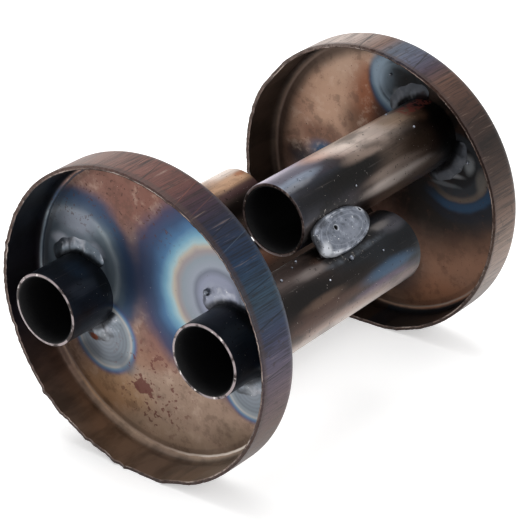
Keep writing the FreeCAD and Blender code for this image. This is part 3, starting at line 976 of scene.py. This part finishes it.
class OBJECT_OT_baffle_tubes(bpy.types.Operator):
    """Make the four tubes in place of their plain solids"""
    bl_idname = "object.baffle_tubes"
    bl_label = "Tubes"

    def execute(self, context):
        look = context.scene.baffle_tubes
        black, bare = bore_paint(look), cut_end_paint(look)
        paints = {
            "left_tube": left_tube_paint(look), "right_tube": right_tube_paint(look),
            "upper_tube": upper_tube_paint(), "lower_tube": lower_tube_paint(look)}
        for node, steel in paints.items():
            piece = tube_piece(node + "_steel", node, (steel, black, bare), look)
            finish_piece(piece, "tube_steel", node)
        return {"FINISHED"}


# Beads: node, tube, depth of the disc, middle and sweep of the arc from +X in degrees, half width,
# share of the full height
BEADS = (
    ("left_tube_top_weld", "left_tube", FRONT_DISC, 98.0, 66.0, 4.6, 0.80),
    ("left_tube_bottom_weld", "left_tube", FRONT_DISC, 303.0, 34.0, 5.4, 0.55),
    ("right_tube_top_weld", "right_tube", FRONT_DISC, 100.0, 52.0, 5.2, 0.70),
    ("right_tube_bottom_weld", "right_tube", FRONT_DISC, 292.0, 34.0, 4.8, 0.55),
    ("upper_tube_top_weld", "upper_tube", REAR_DISC, 122.0, 44.0, 4.8, 0.75),
    ("upper_tube_bottom_weld", "upper_tube", REAR_DISC, 318.0, 54.0, 5.0, 0.75),
    ("lower_tube_top_weld", "lower_tube", REAR_DISC, 138.0, 54.0, 5.0, 0.70),
    ("lower_tube_bottom_weld", "lower_tube", REAR_DISC, 302.0, 44.0, 4.8, 0.70),
)
BEAD_HEIGHT = 2.0
# How far a bead's underside sinks into the disc, and how far its ends stay off the disc and its
# crests below the full height
BEAD_SINK = 0.05
BEAD_EASE = 0.02


def bead_piece(name, tube, disc, middle, sweep, half, share, material, look):
    """A bead as a flat-bottomed section carried along an arc about its tube.

    The section is a low dome, a power of the sine round the section, so it runs out softly on to
    the disc. It shrinks to a point at both ends as the root of one minus the fourth power of the
    place along the bead. Two lumps rise near the ends as a cosine along the bead, and ripples cross
    it as crescents: a sine of the place along the bead, bent back by the square of the place across.
    """
    x, height = tube_axis(tube)
    along = np.linspace(-1, 1, 74)[1:-1]
    across = full_turn(48)
    reach = BEAD_ARC * math.radians(sweep) / 2 + half * 0.9
    bend = along * reach / BEAD_ARC
    size = (1 - along ** 4) ** 0.5
    random = np.random.default_rng(round(middle + sweep))
    starts = random.uniform(0, 6.28, 6)
    lumps = 0.78 - 0.16 * np.cos(2 * math.pi * along / 1.2) + 0.05 * np.sin(along * reach * 0.9 + starts[0])
    side, lift = np.cos(across), np.sin(across)
    crest = np.maximum(lift, 0) ** 2.6
    crescent = along[:, None] * reach * 3.0 + 2.2 * side[None, :] ** 2 + starts[2]
    ripple = look.ripple * TO_MM * np.sin(crescent) * crest * size[:, None]
    swells = 0.07 * np.sin(along[:, None] * reach * 1.1 + side[None, :] * 2.0 + starts[3]) * crest
    dome = np.where(lift > 0, BEAD_HEIGHT * 0.96 * crest, -BEAD_SINK)
    rise = dome[None, :] * (size * lumps)[:, None] + ripple + swells
    rise = np.minimum(rise, BEAD_HEIGHT - BEAD_EASE) * share
    width = half * size[:, None] * (0.95 + 0.05 * np.sin(along * reach * 1.3 + starts[4]))[:, None]
    out = BEAD_ARC + width * side[None, :]
    turn = math.radians(middle) + bend[:, None]
    rings = placed(x + out * np.cos(turn), disc - rise, height + out * np.sin(turn))
    ends = []
    for place in (-1, 1):
        angle = math.radians(middle) + place * reach / BEAD_ARC
        across, up = x + BEAD_ARC * math.cos(angle), height + BEAD_ARC * math.sin(angle)
        ends.append(placed(across, disc - BEAD_EASE, up))
    return surface(name, rings, ends[0], ends[1], materials=(material,))


def weld_grain(paint, look, bright, dark):
    """Bright crests, partly painted highlights, dark dips, painted glints and fine grain of weld metal over
    what is there.
    """
    cloud = paint.noise(0.16, 3.0, shift=3.0)
    grain = paint.noise(1.1, 4.0, shift=7.0, roughness=0.6)
    # Bright crests stand partly for painted highlights
    paint.shades(cloud, (look.bright, 0.50, 0.70, bright), (look.slag, 0.48, 0.30, dark))
    # Near-white specks: painted glints
    paint.spots("#f4f3f5", 1.0, 0.69, 0.7, 18.0, 0.03)
    paint.bump(grain, 0.15, 0.0002)
    paint.bump(cloud, 0.3, 0.0006)


def bead_paint(name, tube, disc, look):
    """Weld metal that carries the heat rings of its disc, with painted shade in the corner at the tube."""
    paint = Paint(name, 0.30, 0.7)
    paint.layer(look.metal)
    if disc == FRONT_DISC:
        front_pools(paint)
        weld_grain(paint, look, 0.6, 0.45)
    else:
        weld_grain(paint, look, 0.35, 0.7)
        paint.layer("#1b1d20", 0.82)
    # Painted shade in the corner where the bead meets the tube
    paint.shades(paint.distance(*tube_axis(tube)), ("#101114", 17.0, 15.0, 0.85))
    return paint.done()


def spatter_paint(look):
    """Small bright balls of weld metal."""
    paint = Paint("spatter_metal", 0.28, 0.8)
    paint.layer(look.metal)
    weld_grain(paint, look, 0.8, 0.5)
    return paint.done()


class OBJECT_OT_baffle_beads(bpy.types.Operator):
    """Make the eight short beads that hold the tubes in the cups"""
    bl_idname = "object.baffle_beads"
    bl_label = "Weld beads"

    def execute(self, context):
        look = context.scene.baffle_welds
        metals = {}
        for node, tube, disc, middle, sweep, half, share in BEADS:
            if tube not in metals:
                metals[tube] = bead_paint(tube + "_weld_metal", tube, disc, look)
            material = metals[tube]
            piece = bead_piece(node + "_bead", tube, disc, middle, sweep, half, share, material, look)
            finish_piece(piece, "weld_metal", node)
        return {"FINISHED"}


# The puddle: depth of its middle, half length, half width, and the power that rounds its outline
BRIDGE_DEPTH = 76.0
BRIDGE_HALF = 15.8
BRIDGE_WIDTH = 7.8
BRIDGE_POWER = 2.3
# Its heights out of the valley: crown, highest lip, tips and underside
BRIDGE_CROWN = 13.9
BRIDGE_TOP = 14.28
BRIDGE_TIP = 12.0
BRIDGE_UNDER = 6.5
# Pores: place along the puddle from its middle, place across, radius
PORES = ((-3.6, -2.0, 0.80), (12.4, -3.6, 0.70))


def bridge_frame():
    """Middle of the valley between the upper and the right tube, the way across it and out of it."""
    first, second = (np.insert(tube_axis(node), 1, 0.0) for node in ("upper_tube", "right_tube"))
    across = (second - first) / np.linalg.norm(second - first)
    outward = np.array([-across[2], 0, across[0]])
    return (first + second) / 2, across, outward


def bridge_piece(name, material, look):
    """The puddle between two tubes: a flat oval patch with a raised lip and two gas pores.

    Its half width is a root of one minus a power of the place along it. The top falls off with the
    square of the place across, a lip rises near the outline as a narrow bell, and each pore is a
    steep bell cut down inside a low ring. The underside lies between the tubes and rises to the
    top towards both ends.
    """
    middle, across, outward = bridge_frame()
    along = np.linspace(-1, 1, 142)[1:-1]
    loop = full_turn(160)
    side, lift = np.cos(loop), np.sin(loop)
    fullness = np.abs(along) ** BRIDGE_POWER
    half = BRIDGE_WIDTH * (1 - fullness) ** 0.5 * (1 - 0.08 * along)
    place = half[:, None] * side[None, :]
    run = along[:, None] * BRIDGE_HALF
    square = side[None, :] ** 2 * (1 - fullness[:, None]) + fullness[:, None]
    share = np.sqrt(np.clip(square, 0, 1))
    dome = BRIDGE_CROWN - 0.022 * place ** 2 - 1.1 * share ** 10 - 0.5 * np.abs(along[:, None]) ** 4
    lip = 0.30 * np.exp(-((share - 0.89) / 0.045) ** 2)
    swell = 0.06 * np.sin(run * 0.5 + place * 0.3) + 0.04 * np.sin(run * 1.1 - place * 0.8)
    arcs = np.hypot(run + 19.0, place * 1.15)
    ripple = look.ripple * TO_MM * 0.5 * np.sin(arcs * 2.6) * (1 - share ** 4)
    pits = np.zeros_like(place)
    for depth, sideways, radius in PORES:
        gap = np.hypot(run - depth, place - sideways)
        pits = pits - 1.3 * np.exp(-(gap / radius) ** 4) + 0.14 * np.exp(-((gap - radius * 1.5) / 0.3) ** 2)
    top = np.minimum(dome + lip + ripple + swell + pits, BRIDGE_TOP)
    under = BRIDGE_UNDER + (BRIDGE_TIP - BRIDGE_UNDER) * np.abs(along[:, None]) ** 3
    level = np.where(lift[None, :] >= 0, top, under)
    edge = np.abs(lift)[None, :] < 0.05
    level = np.where(edge, (top + under) / 2, level)
    flat = middle + across * place[..., None] + outward * level[..., None]
    rings = placed(flat[..., 0], BRIDGE_DEPTH + run, flat[..., 2])
    tip = middle + outward * BRIDGE_TIP
    ends = [placed(tip[0], BRIDGE_DEPTH + end * BRIDGE_HALF, tip[2]) for end in (-1, 1)]
    return surface(name, rings, ends[0], ends[1], materials=(material,))


# Marks on the puddle: place across, place along, half widths, colour, strength
BRIDGE_MARKS = (
    (3.5, -12.5, 4.0, 3.0, "#c3c6cc", 0.8), (6.2, -8.0, 1.2, 4.5, "#c6c9cf", 0.7),
    (-5.6, -9.0, 2.2, 4.5, "#2f3137", 0.7), (-4.5, 12.6, 2.6, 2.2, "#b5b8be", 0.6),
    (0.0, 14.5, 5.0, 2.2, "#141416", 0.85), (-1.0, -15.0, 5.0, 1.8, "#18191c", 0.8),
    (2.0, 3.0, 4.0, 6.0, "#7f848f", 0.5))


def bridge_paint():
    """Grey puddle with a painted highlight on its lip, painted shadow round its outline, fine rings, marks
    and black pores painted as shade in their pits.
    """
    paint = Paint("bridge_weld_metal", 0.42, 0.45)
    middle, across, _ = bridge_frame()
    offset = paint.vector("SUBTRACT", paint.place, (middle[0], BRIDGE_DEPTH, middle[2]))
    sideways = paint.vector("DOT_PRODUCT", offset, tuple(across))
    run = paint.math("SUBTRACT", paint.depth, BRIDGE_DEPTH)
    first = paint.math("POWER", paint.math("DIVIDE", sideways, BRIDGE_WIDTH), 2.0)
    ahead = paint.math("ABSOLUTE", paint.math("DIVIDE", run, BRIDGE_HALF))
    second = paint.math("POWER", ahead, BRIDGE_POWER)
    share = paint.math("SQRT", paint.math("ADD", first, second))
    paint.layer("#666b76")
    cloud = paint.noise(0.35, 5.0, shift=3.0, roughness=0.65)
    paint.shades(cloud, ("#3d4148", 0.52, 0.36, 0.7), ("#9ba0aa", 0.52, 0.70, 0.6))
    rings = paint.math("SINE", paint.both(share, 34.0))
    paint.layer("#8f949e", paint.rise(rings, 0.5, 1.0), paint.rise(share, 0.3, 0.6), 0.35)
    # Painted highlight along the raised lip
    paint.layer("#b9bdc4", paint.band(share, 0.86, 0.90, 0.04), paint.rise(cloud, 0.42, 0.62), 0.6)
    # Painted shadow round the outline
    paint.shades(share, ("#1b1c1f", 0.95, 1.0, 0.85))
    paint.dabs(sideways, run, BRIDGE_MARKS, 0.3)
    paint.spots("#17181a", 0.9, 0.67, 0.85, 71.0)
    paint.spots("#f2f3f5", 0.8, 0.70, 0.85, 81.0, 0.03)
    for depth, side, radius in PORES:
        hole = paint.vector("LENGTH", paint.joined(
            paint.math("SUBTRACT", sideways, side), paint.math("SUBTRACT", run, depth)), (0, 0, 0))
        paint.layer("#a9adb4", paint.band(hole, radius * 1.3, radius * 1.6, 0.2), 0.5)
        # Painted shade inside each pore
        paint.layer("#040404", paint.rise(hole, radius * 1.3, radius * 0.9))
    paint.bump(cloud, 0.3, 0.0005)
    return paint.done()


class OBJECT_OT_baffle_bridge(bpy.types.Operator):
    """Make the long weld puddle that ties the upper tube to the right one"""
    bl_idname = "object.baffle_bridge"
    bl_label = "Bridge weld"

    def execute(self, context):
        look = context.scene.baffle_welds
        piece = bridge_piece("tube_bridge_bead", bridge_paint(), look)
        finish_piece(piece, "weld_metal", "tube_bridge_weld")
        return {"FINISHED"}


def ball(middle, radius):
    """Rings and poles of a slightly flattened ball about a middle in millimetres."""
    rise = np.radians(np.linspace(-75, 75, 9))[:, None]
    turn = full_turn(16)[None, :]
    points = np.stack(np.broadcast_arrays(
        np.cos(rise) * np.cos(turn), np.cos(rise) * np.sin(turn), np.sin(rise)), axis=-1)
    return middle + radius * points


# Share of its radius by which the middle of a spatter ball stands out of the steel
SPATTER_STAND = 0.3
# Spatter on a tube: tube, angle from +X in degrees, depth, size; on a disc: x, height, disc depth, size
TUBE_SPATTER = (
    ("right_tube", 54, 72.3, 2.0), ("right_tube", 103, 55.0, 1.1), ("right_tube", 82, 40.1, 1.2),
    ("right_tube", 43, 57.0, 0.8), ("right_tube", 39, 88.2, 0.8), ("right_tube", 94, 50.0, 0.9),
    ("upper_tube", 108, 135.8, 1.0), ("upper_tube", 54, 135.9, 1.2), ("upper_tube", 70, 69.8, 0.8),
    ("upper_tube", 20, 92.0, 0.8))
DISC_SPATTER = (
    (22.8, 14.2, FRONT_DISC, 3.0), (24.4, 9.2, FRONT_DISC, 1.4), (31.7, 15.1, REAR_DISC, 1.6),
    (37.0, 15.0, REAR_DISC, 1.6), (1.0, 43.5, REAR_DISC, 1.3), (-44.6, 14.6, FRONT_DISC, 1.2))


class OBJECT_OT_baffle_spatter(bpy.types.Operator):
    """Make the small balls of spatter that stick to the tubes and discs"""
    bl_idname = "object.baffle_spatter"
    bl_label = "Weld spatter"

    def execute(self, context):
        look = context.scene.baffle_welds
        metal = spatter_paint(look)
        size = look.spatter * TO_MM
        middles = []
        for tube, angle, depth, scale in TUBE_SPATTER:
            x, height = tube_axis(tube)
            turn = math.radians(angle)
            out = TUBE_RADIUS + size * scale * SPATTER_STAND
            across, up = x + out * math.cos(turn), height + out * math.sin(turn)
            middles.append((placed(across, depth, up), size * scale))
        for x, height, disc, scale in DISC_SPATTER:
            middles.append((placed(x, disc - size * scale * SPATTER_STAND, height), size * scale))
        balls = []
        for number, (middle, radius) in enumerate(middles):
            rings = ball(middle, radius)
            low = middle - np.array([0, 0, radius])
            high = middle + np.array([0, 0, radius])
            balls.append(surface(f"ball_{number}", rings, low, high, materials=(metal,)))
        with context.temp_override(
                active_object=balls[0], selected_objects=balls, selected_editable_objects=balls):
            bpy.ops.object.join()
        balls[0].name = "weld_spatter"
        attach(balls[0], "root")
        return {"FINISHED"}


WHITE = (1, 1, 1, 1)
# Strength of the world in plain light and where it is seen, and of the floor's glow where it is seen
WORLD_PLAIN = 0.62
WORLD_SEEN = 1.0
FLOOR_GLOW = 0.42
FLOOR_REACH = 4.0
# Point that the lamps aim at, in metres
AIM = (0, 0, 0.06)
# Place of the camera in metres; its other values are in degrees and, for the lens, millimetres
CAMERA_PLACE = (0.4245, -0.5318, 0.38865)
CAMERA_AZIMUTH = 39.304
CAMERA_ELEVATION = 26.395
CAMERA_ROLL = -2.07
CAMERA_LENS = 139.965


def seen_strength(tree, plain, seen):
    """One strength for plain light and one where a ray of the camera, gloss or glass looks on."""
    path = tree.nodes.new("ShaderNodeLightPath")
    total = path.outputs["Is Camera Ray"]
    for output in ("Is Glossy Ray", "Is Transmission Ray"):
        joined = tree.nodes.new("ShaderNodeMath")
        joined.operation = "MAXIMUM"
        tree.links.new(total, joined.inputs[0])
        tree.links.new(path.outputs[output], joined.inputs[1])
        total = joined.outputs[0]
    strength = tree.nodes.new("ShaderNodeMapRange")
    set_inputs(strength, {"To Min": plain, "To Max": seen})
    tree.links.new(total, strength.inputs["Value"])
    return strength.outputs["Result"]


def light_world(scene):
    """A white world, plain as light on the object and full where it is seen."""
    scene.world = bpy.data.worlds.new("studio")
    scene.world.use_nodes = True
    tree = scene.world.node_tree
    background = tree.nodes["Background"]
    strength = seen_strength(tree, WORLD_PLAIN, WORLD_SEEN)
    set_inputs(background, {"Color": WHITE})
    tree.links.new(strength, background.inputs["Strength"])


def lay_floor(colour):
    """A pale square floor that glows where it is seen and keeps the object's shadow."""
    far = FLOOR_REACH
    mesh = bpy.data.meshes.new("floor")
    mesh.from_pydata([(-far, -far, 0), (far, -far, 0), (far, far, 0), (-far, far, 0)], [], [(0, 1, 2, 3)])
    floor = bpy.data.objects.new("floor", mesh)
    bpy.context.scene.collection.objects.link(floor)
    paint = bpy.data.materials.new("floor_paint")
    paint.use_nodes = True
    tree = paint.node_tree
    shader = tree.nodes["Principled BSDF"]
    set_inputs(shader, {
        "Base Color": (*colour, 1), "Roughness": 0.9, "Specular IOR Level": 0.1, "Emission Color": WHITE})
    tree.links.new(seen_strength(tree, 0.0, FLOOR_GLOW), shader.inputs["Emission Strength"])
    mesh.materials.append(paint)


def hang_lamp(name, place, size, power):
    """A large soft square lamp at a place in metres, aimed at the object."""
    data = bpy.data.lights.new(name, "AREA")
    data.shape = "SQUARE"
    data.size = size
    data.energy = power
    lamp = bpy.data.objects.new(name, data)
    lamp.location = place
    lamp.rotation_euler = (Vector(AIM) - Vector(place)).to_track_quat("-Z", "Y").to_euler()
    bpy.context.scene.collection.objects.link(lamp)


def set_camera(scene):
    """The photograph's camera, turned by its azimuth, elevation and roll."""
    data = bpy.data.cameras.new("camera")
    data.sensor_width = 36.0
    data.lens = CAMERA_LENS
    data.clip_start = 0.01
    camera = bpy.data.objects.new("camera", data)
    scene.collection.objects.link(camera)
    azimuth, elevation = math.radians(CAMERA_AZIMUTH), math.radians(CAMERA_ELEVATION)
    level = math.cos(elevation)
    back = Vector((math.sin(azimuth) * level, -math.cos(azimuth) * level, math.sin(elevation)))
    right = Vector((math.cos(azimuth), math.sin(azimuth), 0))
    up = back.cross(right)
    lean = math.radians(CAMERA_ROLL)
    leaned_right = right * math.cos(lean) + up * math.sin(lean)
    leaned_up = up * math.cos(lean) - right * math.sin(lean)
    turned = Matrix((leaned_right, leaned_up, back)).transposed()
    camera.matrix_world = Matrix.Translation(CAMERA_PLACE) @ turned.to_4x4()
    scene.camera = camera


class OBJECT_OT_baffle_stage(bpy.types.Operator):
    """Set up the pale floor, the soft lamps and the camera of the photograph"""
    bl_idname = "object.baffle_stage"
    bl_label = "Stage"

    def execute(self, context):
        look = context.scene.baffle_stage
        context.scene.view_settings.view_transform = "Standard"
        light_world(context.scene)
        lay_floor(look.backdrop)
        hang_lamp("lamp_above", (-0.25, 0.15, 1.1), 0.9, look.key_power)
        hang_lamp("lamp_side", (0.9, -0.1, 0.5), 0.7, look.key_power * 0.3)
        set_camera(context.scene)
        return {"FINISHED"}


STEPS = (
    OBJECT_OT_baffle_stage, OBJECT_OT_baffle_cups, OBJECT_OT_baffle_tubes, OBJECT_OT_baffle_beads,
    OBJECT_OT_baffle_bridge, OBJECT_OT_baffle_spatter)
LOOKS = {
    "baffle_cups": CupLook, "baffle_tubes": TubeLook, "baffle_welds": WeldLook, "baffle_stage": StageLook}


class VIEW3D_PT_baffle(bpy.types.Panel):
    """Lists the steps that make the insert, and their sizes and colours"""
    bl_label = "Exhaust Baffle Insert"
    bl_idname = "VIEW3D_PT_baffle"
    bl_space_type = "VIEW_3D"
    bl_region_type = "UI"
    bl_category = "Baffle"

    def draw(self, context):
        for step in STEPS:
            self.layout.operator(step.bl_idname)
        for name, look in LOOKS.items():
            box = self.layout.box()
            for key in look.__annotations__:
                box.prop(getattr(context.scene, name), key)


def register():
    for look in LOOKS.values():
        bpy.utils.register_class(look)
    for step in STEPS:
        bpy.utils.register_class(step)
    bpy.utils.register_class(VIEW3D_PT_baffle)
    for name, look in LOOKS.items():
        setattr(bpy.types.Scene, name, PointerProperty(type=look))


def unregister():
    for name in LOOKS:
        delattr(bpy.types.Scene, name)
    bpy.utils.unregister_class(VIEW3D_PT_baffle)
    for step in reversed(STEPS):
        bpy.utils.unregister_class(step)
    for look in reversed(list(LOOKS.values())):
        bpy.utils.unregister_class(look)


def main():
    register()
    bpy.ops.object.baffle_stage()
    bpy.ops.object.baffle_cups()
    bpy.ops.object.baffle_tubes()
    bpy.ops.object.baffle_beads()
    bpy.ops.object.baffle_bridge()
    bpy.ops.object.baffle_spatter()


if __name__ == "__main__":
    main()
